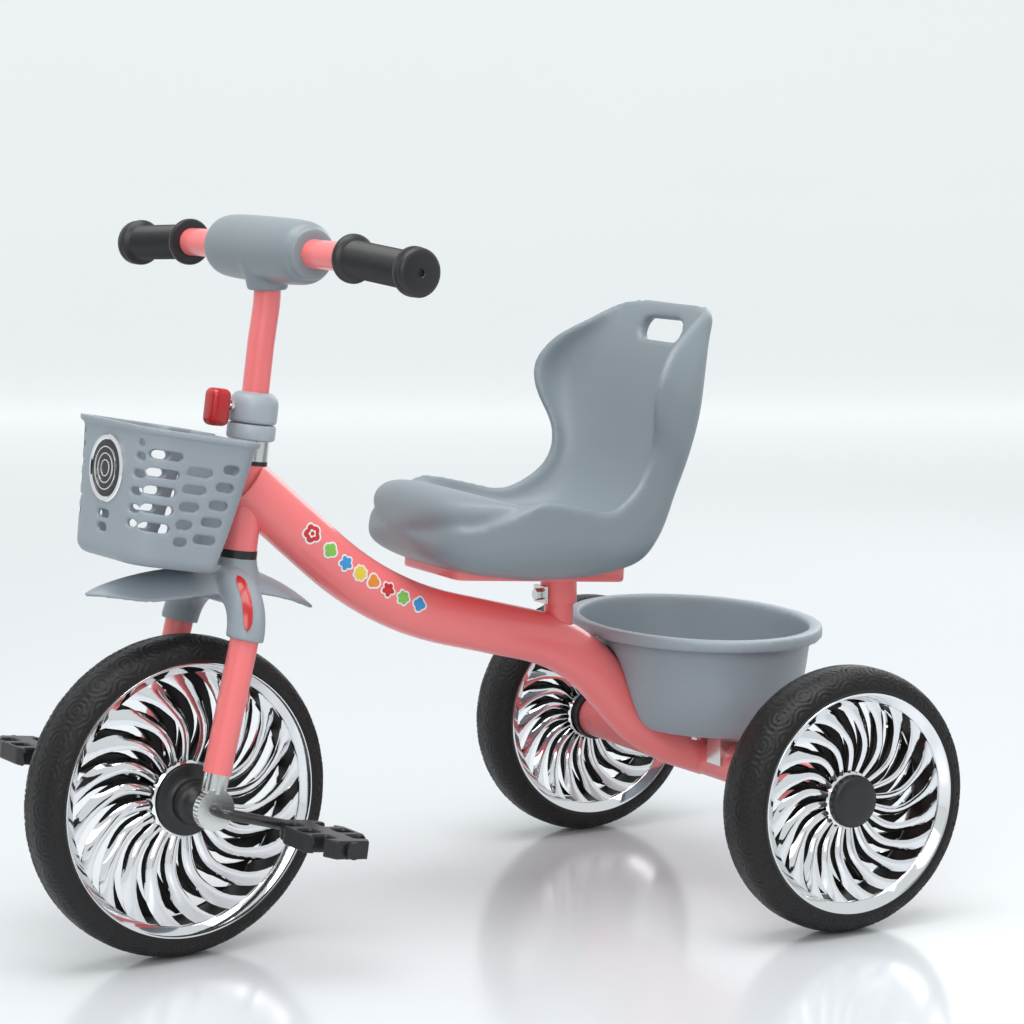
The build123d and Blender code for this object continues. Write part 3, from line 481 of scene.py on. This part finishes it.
def moulded(bm, name, voxel, rounds, material, body, stands_for, place, cutter=None, crease=60,
            crossing=False):
    """Fuses overlapping closed shapes, cuts openings, and rounds every edge a little."""
    meshes = []
    for label, source in (("blank", bm), ("cutter", cutter)):
        if source is not None:
            mesh = bpy.data.meshes.new(label)
            source.to_mesh(mesh)
            source.free()
            meshes.append(bpy.data.objects.new(label, mesh))
            bpy.context.scene.collection.objects.link(meshes[-1])
    blank = meshes[0]
    remesh = blank.modifiers.new("fuse", "REMESH")
    remesh.mode, remesh.voxel_size = "VOXEL", voxel
    if cutter is not None:
        cut = blank.modifiers.new("openings", "BOOLEAN")
        cut.operation, cut.solver, cut.object, cut.use_self = "DIFFERENCE", "EXACT", meshes[1], crossing
        again = blank.modifiers.new("even", "REMESH")
        again.mode, again.voxel_size = "VOXEL", voxel
    result = bpy.data.meshes.new_from_object(blank.evaluated_get(bpy.context.evaluated_depsgraph_get()))
    for spare in meshes:
        bpy.data.objects.remove(spare)
    rounded = bmesh.new()
    rounded.from_mesh(result)
    for _ in range(rounds):
        bmesh.ops.smooth_vert(rounded, verts=rounded.verts, factor=0.5, use_axis_x=True, use_axis_y=True,
                              use_axis_z=True)
    return finish_piece(rounded, name, material, body, stands_for, place, crease)


# Stations from the pan's nose to the back's top: middle of the inside (x, z), rim
# (x, half width, z), middle of the outside (x, z).
SEAT_STATIONS = (
    (298.5, 321, 295.5, 6, 320, 298.1, 318), (297.2, 326, 288.5, 40, 322, 295.5, 312),
    (290.3, 343, 280.7, 70, 325, 287.6, 299), (277.2, 352, 264.2, 88, 328, 261.6, 286),
    (254.6, 350, 243.3, 101, 338, 235.4, 281), (231.1, 341, 225, 104, 343.5, 213.7, 277),
    (205, 326, 205, 104, 342, 190, 275), (175, 314, 178, 102, 336, 160, 275),
    (145, 309, 148.5, 92, 330, 130, 277), (118, 312, 122.5, 84, 342.5, 103, 282), (98, 328, 108, 80, 361, 84,
                                                                                   301),
    (84, 352, 104.5, 84, 385, 73, 331), (74, 382, 110.8, 97, 412.8, 65, 363), (66, 412, 108, 102, 435.7, 57,
                                                                               397),
    (57, 442, 92, 94, 457, 49, 430), (48, 466, 64, 78, 474, 40, 459), (42, 482, 46, 68, 484, 34, 478),
    (37, 490, 37, 50, 489.5, 31, 489))
INNER_ROUND, OUTER_ROUND = 2.7, 4.2
RIM_WALL, RIM_CROWN, RIM_SHARE = 9.0, 3.0, 0.085


def bowed(t, power):
    return 1 - (1 - min(1.0, abs(t)) ** power) ** (1 / power)


seat = bmesh.new()
bmesh.ops.create_grid(seat, x_segments=68, y_segments=48, size=1.0)
for vert in seat.verts:
    cx, cz, rx, half, rz, bx, bz = blended(SEAT_STATIONS, 0.5 * (vert.co.x + 1))
    q = vert.co.y
    turn = 0.5 - RIM_SHARE
    wall = min(RIM_WALL, half * 0.3)
    if abs(abs(q) - 0.5) <= turn:
        inside = q < 0
        t = math.sin(math.pi / 2 * ((q + 0.5) if inside else (0.5 - q)) / turn)
        ax, az, power, reach = (cx, cz, INNER_ROUND, half - wall) if inside else (bx, bz, OUTER_ROUND, half)
        bow = bowed(t, power)
        vert.co = Vector((ax + (rx - ax) * bow, reach * t, az + (rz - az) * bow))
    else:
        left = abs(q) < 0.5
        over = 0.5 + 0.5 * q / RIM_SHARE if left else 0.5 * (1 + math.copysign((1 - abs(q)) / RIM_SHARE, q))
        raised = Vector((rx - cx, 0, rz - cz)).normalized() * RIM_CROWN * math.sin(math.pi * over)
        y = half - wall * (1 - over)
        vert.co = Vector((rx, y if left else -y, rz)) + raised
bmesh.ops.remove_doubles(seat, verts=seat.verts, dist=0.01)
bmesh.ops.holes_fill(seat, edges=[e for e in seat.edges if e.is_boundary], sides=0)
bmesh.ops.recalc_face_normals(seat, faces=seat.faces)


def stadium(width, height, depth, steps=10):
    """A slot-shaped prism about its own middle: width along Y, height along Z."""
    bm = bmesh.new()
    bmesh.ops.create_circle(bm, cap_ends=True, radius=height / 2, segments=2 * steps)
    for vert in bm.verts:
        vert.co.x += math.copysign(0.5 * (width - height), vert.co.x + 1e-6)
    raised = bmesh.ops.extrude_face_region(bm, geom=bm.faces[:])
    bmesh.ops.translate(bm, verts=[v for v in raised["geom"] if isinstance(v, bmesh.types.BMVert)], vec=(0, 0,
                                                                                                         depth))
    bm.transform(Matrix(((0, 0, 1, -depth / 2), (1, 0, 0, 0), (0, 1, 0, 0), (0, 0, 0, 1))))
    bm.normal_update()
    if bm.calc_volume(signed=True) < 0:
        bmesh.ops.reverse_faces(bm, faces=bm.faces)
    return bm


seat_plastic = finish("seat_plastic", (0.228, 0.266, 0.292), (0.200, 0.236, 0.262), 0.42, patch=6, grain=1400,
                      bump=0.14)
hand_slot = stadium(62, 19, 90)
hand_slot.transform(Matrix.Translation((44, 0, 466)) @ Matrix.Rotation(math.radians(-15), 4, "Y"))
moulded(seat, "seat_shell", 2.2, 7, seat_plastic, "frame", ("seat",), STANDING, hand_slot)

# Seat tray ------------------------------------------------------------------------------
# Folded steel pan under the seat, powder coated pink, its corners rounded.
tray = bmesh.new()
bmesh.ops.create_cube(tray, size=1.0)
bmesh.ops.scale(tray, verts=tray.verts, vec=(158, 96, 12))
uprights = [e for e in tray.edges if abs(e.verts[0].co.z - e.verts[1].co.z) > 5]
bmesh.ops.bevel(tray, geom=uprights, offset=9, affect="EDGES", segments=6, profile=0.5, material=-1)
under = [e for e in tray.edges if all(v.co.z < -5.9 for v in e.verts)]
bmesh.ops.bevel(tray, geom=under, offset=2.5, affect="EDGES", segments=3, profile=0.5, material=-1)
tray.transform(Matrix.Translation((187, 0, 273.4)) @ Matrix.Rotation(math.radians(-4.9), 4, "Y")
               @ Matrix.Translation((0, 0, 6.2)))
finish_piece(tray, "tray", pink_paint, "frame", ("seat_tray",), STANDING)

# Rear basin -----------------------------------------------------------------------------
# Grey oval storage basin, injection moulded with a rolled lip, let over the main tube.
BASIN_VOXEL, BASIN_ROUNDS = 2.0, 5


def packed_shape(node, place):
    """A welded copy of a CAD node's mesh, taken back to millimetres."""
    bm = bmesh.new()
    bm.from_mesh(frame["nodes"][node].data)
    bmesh.ops.remove_doubles(bm, verts=bm.verts, dist=1e-5)
    bm.transform(place.inverted())
    return bm


moulded(packed_shape("rear_basin", STANDING), "storage_basin", BASIN_VOXEL, BASIN_ROUNDS, grey_plastic,
        "frame",
        ("rear_basin",), STANDING)

# Fender -------------------------------------------------------------------------------
# One grey moulding over the fork crown: a leaf that runs fore and aft over the wheel,
# sleeves down the crown's bends, a neck to the head tube, and a red strip on the sleeve.
FENDER_LEAF = ((564, 290, 1.5, 0.5), (548, 295, 15, 7), (525, 299.5, 26, 15), (500, 302, 27.5, 18), (475, 302,
                                                                                                     26, 18),
               (450, 301, 25, 18), (425, 297, 24, 17), (400, 286, 23, 12), (380, 273.5, 13, 6), (364, 261, 2,
                                                                                                 0.5))
LEAN = math.radians(13.9)
CROWN_LENGTH, CROWN_BEND, FORK_HALF = 166.9, 37.0, 50.0


def crown_point(along, radius, around):
    """A point on a sleeve round the fork's bent crown, from the left bend to the right."""
    bend, level = CROWN_BEND * math.pi / 2, 2 * (FORK_HALF - CROWN_BEND)
    s = along * (2 * bend + level)
    side = 1 if s < bend + level / 2 else -1
    s = s if side > 0 else 2 * bend + level - s
    if s < bend:
        turn = s / CROWN_BEND
        y, up = FORK_HALF - CROWN_BEND + CROWN_BEND * math.cos(turn), CROWN_LENGTH - CROWN_BEND * (1 - math.sin(turn))
        out_y, out_up = math.cos(turn), math.sin(turn)
    else:
        y, up = FORK_HALF - CROWN_BEND - (s - bend), CROWN_LENGTH
        out_y, out_up = 0.0, 1.0
    y += radius * math.cos(around) * out_y
    up += radius * math.cos(around) * out_up
    ahead = radius * math.sin(around)
    return Vector((486.7 - up * math.sin(LEAN) + ahead * math.cos(LEAN), side * y,
                   125 + up * math.cos(LEAN) + ahead * math.sin(LEAN)))


leaf = bmesh.new()
bmesh.ops.create_grid(leaf, x_segments=60, y_segments=20, size=1.0)
for vert in leaf.verts:
    x, ridge, half, droop = blended(FENDER_LEAF, 0.5 * (vert.co.x + 1))
    v = vert.co.y
    vert.co = Vector((x, half * v, ridge - droop * abs(v) ** 1.8))
bmesh.ops.recalc_face_normals(leaf, faces=leaf.faces)
if sum(face.normal.z for face in leaf.faces) < 0:
    bmesh.ops.reverse_faces(leaf, faces=leaf.faces)
bmesh.ops.solidify(leaf, geom=leaf.faces[:], thickness=3.0)
sleeve = bmesh.new()
bmesh.ops.create_grid(sleeve, x_segments=60, y_segments=32, size=1.0)
for vert in sleeve.verts:
    vert.co = crown_point(0.5 * (vert.co.x + 1), 14.6, math.pi * vert.co.y)
bmesh.ops.remove_doubles(sleeve, verts=sleeve.verts, dist=0.05)
bmesh.ops.holes_fill(sleeve, edges=[e for e in sleeve.edges if e.is_boundary], sides=0)
AXIS_TILT = math.radians(7.75)
ALONG_AXIS = (Matrix.Translation((433, 0, 300)) @ Matrix.Rotation(-AXIS_TILT, 4, "Y")
              @ Matrix.Rotation(math.pi / 2, 4, "X"))
neck = turned([(0.5, -12), (22, -12), (19, -6), (16.5, 0), (15.2, 6), (14.9, 8), (0.5, 8)], 48)
neck.transform(ALONG_AXIS)
moulded(gathered([leaf, sleeve, neck]), "fender", 1.25, 4, grey_plastic, "steering",
        ("front_fender",), TURNED)
red_plastic = finish("red_plastic", (0.55, 0.008, 0.010), (0.42, 0.006, 0.008), 0.22, coat=0.4)
strip = bmesh.new()
bmesh.ops.create_grid(strip, x_segments=24, y_segments=6, size=1.0)
for vert in strip.verts:
    taper = 1 - abs(vert.co.x) ** 6
    vert.co = crown_point(0.17 + 0.13 * vert.co.x, 15.9, 0.50 + 0.24 * vert.co.y * taper)
bmesh.ops.solidify(strip, geom=strip.faces[:], thickness=0.5)
finish_piece(strip, "fender_strip", red_plastic, "steering", (), TURNED)

# Front basket -------------------------------------------------------------------------
# Grey moulded basket hung on the head tube, open at the top under an outward lip, with
# columns of slots in its sides and front, and a round badge.
BASKET_PLACE = TURNED @ Matrix.Translation((452, 0, 402)) @ Matrix.Rotation(math.radians(-11), 4, "Y")
BASKET_DEPTH, BASKET_LENGTH, BASKET_HALF, BASKET_BACK = 103.0, 89.0, 61.0, -13.0


def basket_wall(back, front, half, top, bottom, narrower, corner):
    """A closed rounded-rectangle block that narrows downwards."""
    bm = bmesh.new()
    bmesh.ops.create_cube(bm, size=1.0)
    for vert in bm.verts:
        low = vert.co.z < 0
        taper = narrower if low else 0.0
        vert.co = Vector((front - 0.62 * taper if vert.co.x > 0 else back + taper,
                          math.copysign(half - taper, vert.co.y), bottom if low else top))
    upright = [e for e in bm.edges if abs(e.verts[0].co.z - e.verts[1].co.z) > 2]
    bmesh.ops.bevel(bm, geom=upright, offset=corner, affect="EDGES", segments=8, profile=0.5, material=-1)
    base = [e for e in bm.edges if all(v.co.z < bottom + 0.1 for v in e.verts)]
    bmesh.ops.bevel(bm, geom=base, offset=min(9.0, (top - bottom) / 4), affect="EDGES", segments=5,
                    profile=0.5, material=-1)
    return bm


lip_ring = basket_wall(BASKET_BACK - 2, BASKET_LENGTH + 2.4, BASKET_HALF + 2.4, 0, -4.5, 0.5, 24)
outside = basket_wall(BASKET_BACK, BASKET_LENGTH - 1, BASKET_HALF - 1, -1, -BASKET_DEPTH, 9.0, 22)
hollow = basket_wall(5.5, BASKET_LENGTH - 4.2, BASKET_HALF - 4.2, 12, 3.2 - BASKET_DEPTH, 9.6, 19)
SIDE_SLOTS = ((13.6, -22.9, 14), (16.2, -36.7, 16), (18.7, -50.6, 17), (21.7, -63.8, 18), (24.7, -77.4, 19),
              (40.2, -27.9, 22), (41.7, -41, 20), (43.3, -54.5, 17), (44.4, -68.1, 14), (45.2, -81.2, 11.6),
              (69, -18.7, 25), (68.4, -32.3, 24), (68.1, -45.6, 23), (67.4, -59.2, 23), (66.8, -72.9, 22))
FRONT_SLOTS = ((44, -12, 6), (44, -22, 9), (43, -35, 10), (42, -48, 10), (41, -61, 9), (40, -72, 8), (0, -70,
                                                                                                      18),
               (0, -80, 14))
openings = [hollow]
for low_y, high_y, back, ahead in ((-22, 22, -40, 2.0), (26, BASKET_HALF - 12, BASKET_BACK + 4, 30),
                                   (12 - BASKET_HALF, -26, BASKET_BACK + 4, 30)):
    block = bmesh.new()
    bmesh.ops.create_cube(block, size=1.0)
    bmesh.ops.scale(block, verts=block.verts, vec=(ahead - back, high_y - low_y, 200 if back < -20 else 102))
    bmesh.ops.translate(block, verts=block.verts, vec=((ahead + back) / 2, (low_y + high_y) / 2,
                                                       -50 if back < -20 else -45))
    openings.append(block)
for x, z, width in SIDE_SLOTS:
    slot = stadium(width, 6.8, 60)
    slot.transform(Matrix.Rotation(math.pi / 2, 4, "Z"))
    for side in (1, -1):
        copy = slot.copy()
        copy.transform(Matrix.Translation((x, side * (BASKET_HALF - 4), z)))
        openings.append(copy)
    slot.free()
for y, z, width in FRONT_SLOTS:
    for side in ((1, -1) if y else (1,)):
        slot = stadium(width, 6.0, 34)
        slot.transform(Matrix.Translation((BASKET_LENGTH - 6, side * y, z)))
        openings.append(slot)
moulded(gathered([lip_ring, outside]), "basket", 1.25, 2, grey_plastic, "steering",
        ("front_basket",), BASKET_PLACE, gathered(openings), 40, True)
badge_lean = math.radians(4.9)
BADGE_PLACE = (BASKET_PLACE @ Matrix.Translation((BASKET_LENGTH - 3.4, 0, -36))
               @ Matrix.Rotation(badge_lean, 4, "Y") @ Matrix.Rotation(-math.pi / 2, 4, "Z"))
badge_ring = [(21.5, 0), (25.5, 0), (25.5, 1.6), (24.6, 2.6), (22.6, 2.6), (21.5, 1.8)]
finish_piece(turned(badge_ring, 96), "badge_ring", chrome, "steering", ("basket_badge",),
             BADGE_PLACE)
badge_face = [(0, -0.5), (22, -0.5), (22, 1.2), (16, 1.9), (8, 2.2), (0, 2.3)]
finish_piece(turned(badge_face, 96), "badge_face", black_plastic, "steering", (), BADGE_PLACE)
for radius in (6.0, 11.0, 16.0):
    line = [(radius - 0.7, 1.4), (radius + 0.7, 1.4), (radius + 0.4, 2.75), (radius - 0.4, 2.75)]
    finish_piece(turned(line, 64), "badge_line_%d" % radius, chrome, "steering", (), BADGE_PLACE)

# Handlebar cover and grips ----------------------------------------------------------------
# Grey two-part cover clipped over the joint of stem and bar, and black ribbed rubber
# grips with a flange at the inner end and a double one outside.
BAR_PLACE = TURNED @ Matrix.Translation((402.9, 0, 536.3))
# The bar's middle stands a little above its ends, in mm past where the droop begins.
MIDDLE_RISE, DROOP_START, DROOP_SLOPE, DROOP_EASE = 5.4, 115.0, 0.06, 20.0


def drooped(bm):
    """Lifts the middle of the bar and lets its ends fall away, as the real bar is bent."""
    for vert in bm.verts:
        past = abs(vert.co.y) - DROOP_START
        if past > DROOP_EASE:
            fall = DROOP_SLOPE * past
        else:
            fall = DROOP_SLOPE * max(0.0, past + DROOP_EASE) ** 2 / (4 * DROOP_EASE)
        vert.co.z += MIDDLE_RISE - fall
    return bm


tube_wall = [(9.5, -208), (11, -208)]
tube_wall += [(11, y) for y in range(-200, 208, 8)] + [(11, 208), (9.5, 208)]
tube_wall += [(9.5, y) for y in range(200, -208, -8)]
finish_piece(drooped(turned(tube_wall, 48)), "bar_tube", pink_paint, "handlebar",
             ("handlebar_tube",),
             BAR_PLACE)
half_barrel = [(0.5, 66), (17.6, 66), (19.0, 65.5), (19.6, 64.6), (19.6, 61.8), (20.6, 60.8), (22.4, 59.4),
               (23.6, 56.5),
               (24.3, 52), (24.9, 40), (25.2, 24), (25.3, 0.3)]
barrel = turned(half_barrel + [(r, -w) for r, w in reversed(half_barrel)], 72)
upright = Matrix.Translation((1.0, 0, 0)) @ Matrix.Rotation(math.pi / 2, 4, "X")
throat = turned([(0.5, -31), (14.6, -31), (15.6, -30.2), (16.0, -27), (16.8, -23), (19.5, -17), (23.5, -9),
                 (23.5, 4),
                 (0.5, 4)], 72)
throat.transform(upright)
moulded(drooped(gathered([barrel, throat])), "bar_cover", 1.2, 6, pale_grey_plastic, "handlebar",
        ("handlebar_cover_front", "handlebar_cover_back"), BAR_PLACE)
RIB_PITCH, RIB_STEPS = 2.5, 6
grip = [(11.1, 118), (15, 118), (17.4, 118.6), (18.4, 120), (18.4, 122.6), (17.4, 124), (14.0, 125.6)]
ribs = int((198 - 126) / RIB_PITCH * RIB_STEPS)
for i in range(ribs):
    grip.append((13.5 + 0.5 * math.cos(math.tau * i / RIB_STEPS), 126 + i * RIB_PITCH / RIB_STEPS))
grip += [(14.2, 198.2), (17.6, 199.4), (18.3, 200.4), (18.3, 202.6), (16.2, 203.8), (16.2, 204.8), (17.9,
                                                                                                    205.8),
                                                                                                    (17.9,
                                                                                                     208.6),
         (16.8, 210), (14, 211), (3.4, 211.2), (2.8, 210.6), (2.8, 208.6), (0.4, 208.5)]
for word, side in (("left", 1), ("right", -1)):
    outline = [(r, side * w) for r, w in grip] + [(0.4, side * 208.4), (11.1, side * 208.4)]
    finish_piece(drooped(turned(outline, 64)), word + "_grip", black_plastic, "handlebar",
                 ("grip_" + word,), BAR_PLACE, 40)

# Collar and knob --------------------------------------------------------------------------
# Grey base ring and rounded cup round the stem, pinched by a screw with a red knob.
COLLAR_PLACE = TURNED @ ALONG_AXIS
ring = [(12.1, 97), (17.2, 97), (18.6, 98.2), (18.9, 100), (18.9, 107.4), (18.2, 108.9), (17, 109.5), (12.1,
                                                                                                       109.5)]
cup = [(10.7, 110.2), (17.4, 110.2), (18.6, 111.2), (18.9, 113), (18.9, 124), (18.5, 127.2), (17.2, 130.2),
       (15.0, 132.6),
       (12.6, 133.7), (10.7, 134)]
collar_plastic = finish("collar_plastic", (0.40, 0.44, 0.48), (0.36, 0.40, 0.44), 0.34, patch=20)
finish_piece(turned(ring, 96), "collar_ring", collar_plastic, "steering",
             ("collar_base",), COLLAR_PLACE)
finish_piece(turned(cup, 96), "collar_cup", collar_plastic, "steering",
             ("stem_collar",), COLLAR_PLACE, 45)
knob = bmesh.new()
bmesh.ops.create_cube(knob, size=1.0)
bmesh.ops.scale(knob, verts=knob.verts, vec=(17.5, 17, 29))
bmesh.ops.bevel(knob, geom=knob.edges[:], offset=5.5, affect="EDGES", segments=6, profile=0.5, material=-1)
knob.transform(Matrix.Translation((32.5, 0, 120)))
finish_piece(knob, "knob", red_plastic, "clamp_screw", ("clamp_knob",),
             TURNED @ Matrix.Translation((433, 0, 300)) @ Matrix.Rotation(-AXIS_TILT, 4, "Y"))

# Pedals ---------------------------------------------------------------------------------
# Black moulded blocks that turn on the crank's ends, with their edges eased.
PEDAL_BODY = {"left": "left_pedal", "right": "right_pedal"}
for word, body in PEDAL_BODY.items():
    moulded(packed_shape("pedal_" + word, TURNED), word + "_pedal_block", 1.2, 2, black_plastic, body,
            ("pedal_" + word,), TURNED, crease=45)

# Studio -------------------------------------------------------------------------------
# Pale glossy floor sweeping up behind, soft lights above and at both sides, and dark
# cards out of view that give the plated parts their contrast.
def studio_sheet(name, corners, material):
    bm = bmesh.new()
    bm.faces.new([bm.verts.new(corner) for corner in corners])
    mesh = bpy.data.meshes.new(name)
    bm.to_mesh(mesh)
    bm.free()
    sheet = bpy.data.objects.new(name, mesh)
    bpy.context.scene.collection.objects.link(sheet)
    mesh.materials.append(material)
    return sheet


floor_finish = finish("floor_gloss", (0.69, 0.71, 0.73), (0.67, 0.69, 0.71), 0.16, spread=0.02, patch=1.5,
                      grain=30,
                      bump=0.0)
glow = floor_finish.node_tree.nodes
place_node, depth, rise = glow.new("ShaderNodeTexCoord"), glow.new("ShaderNodeVectorMath"), glow.new("ShaderNodeMapRange")
depth.operation = "DOT_PRODUCT"
depth.inputs[1].default_value = (-math.sin(YAW), -math.cos(YAW), 0.9)
rise.inputs["From Min"].default_value, rise.inputs["From Max"].default_value = 0.3, 7.0
rise.inputs["To Min"].default_value, rise.inputs["To Max"].default_value = 0.0, 0.32
rise.interpolation_type = "SMOOTHSTEP"
floor_finish.node_tree.links.new(place_node.outputs["Object"], depth.inputs[0])
floor_finish.node_tree.links.new(depth.outputs["Value"], rise.inputs["Value"])
floor_finish.node_tree.links.new(rise.outputs["Result"], glow["Principled BSDF"].inputs["Emission Strength"])
glow["Principled BSDF"].inputs["Emission Color"].default_value = (0.98, 1.0, 0.97, 1)
FLOOR_Z = -0.0006
AWAY = Vector((-math.sin(YAW), -math.cos(YAW), 0))
ACROSS = Vector((math.cos(YAW), -math.sin(YAW), 0))
sweep = bmesh.new()
bmesh.ops.create_grid(sweep, x_segments=90, y_segments=2, size=1.0)
for vert in sweep.verts:
    s, side = 0.5 * (vert.co.x + 1) * 14.0, vert.co.y * 7.0
    turn = min(max((s - 9.0) / 2.0, 0.0), math.pi / 2)
    out = min(s, 9.0) - 5.0 + 2.0 * math.sin(turn)
    rise = 2.0 * (1 - math.cos(turn)) + max(0.0, s - 9.0 - math.pi)
    vert.co = AWAY * out + ACROSS * side + Vector((0, 0, FLOOR_Z + rise))
sheet_mesh = bpy.data.meshes.new("floor")
sweep.to_mesh(sheet_mesh)
sweep.free()
sheet_mesh.shade_smooth()
floor = bpy.data.objects.new("floor", sheet_mesh)
bpy.context.scene.collection.objects.link(floor)
sheet_mesh.materials.append(floor_finish)
dark_card = finish("dark_card", (0.01, 0.01, 0.01), (0.012, 0.012, 0.012), 0.8)
studio_sheet("card_front", [(2.6, 0.5, 0.0), (2.6, 1.3, 0.0), (2.6, 1.3, 1.9), (2.6, 0.5, 1.9)], dark_card).visible_camera = False
studio_sheet("card_side", [(-1.2, 3.4, 0.0), (-0.5, 3.4, 0.0), (-0.5, 3.4, 1.7), (-1.2, 3.4, 1.7)], dark_card).visible_camera = False
studio_sheet("card_middle", [(0.35, 3.6, 0.0), (0.75, 3.6, 0.0), (0.75, 3.6, 0.55), (0.35, 3.6, 0.55)],
             dark_card).visible_camera = False

world = bpy.data.worlds.new("studio")
world.use_nodes = True
backdrop = world.node_tree.nodes["Background"]
backdrop.inputs["Color"].default_value = (0.86, 0.895, 0.91, 1)
backdrop.inputs["Strength"].default_value = 0.86
bpy.context.scene.world = world


def soft_light(name, place, aim, width, height, power):
    lamp = bpy.data.lights.new(name, "AREA")
    lamp.shape = "RECTANGLE"
    lamp.size, lamp.size_y, lamp.energy = width, height, power
    light = bpy.data.objects.new(name, lamp)
    bpy.context.scene.collection.objects.link(light)
    light.location = place
    light.rotation_euler = (Vector(aim) - Vector(place)).to_track_quat("-Z", "Y").to_euler()


soft_light("overhead", (0.2, 0.4, 2.4), (0, 0, 0.25), 2.2, 1.6, 42)
soft_light("key_left", (1.4, 2.2, 1.6), (0.05, 0, 0.3), 1.2, 1.4, 17)
soft_light("fill_back", (-1.9, -1.2, 1.3), (0, 0, 0.3), 1.2, 1.2, 8)

bpy.context.scene.view_settings.view_transform = "Standard"
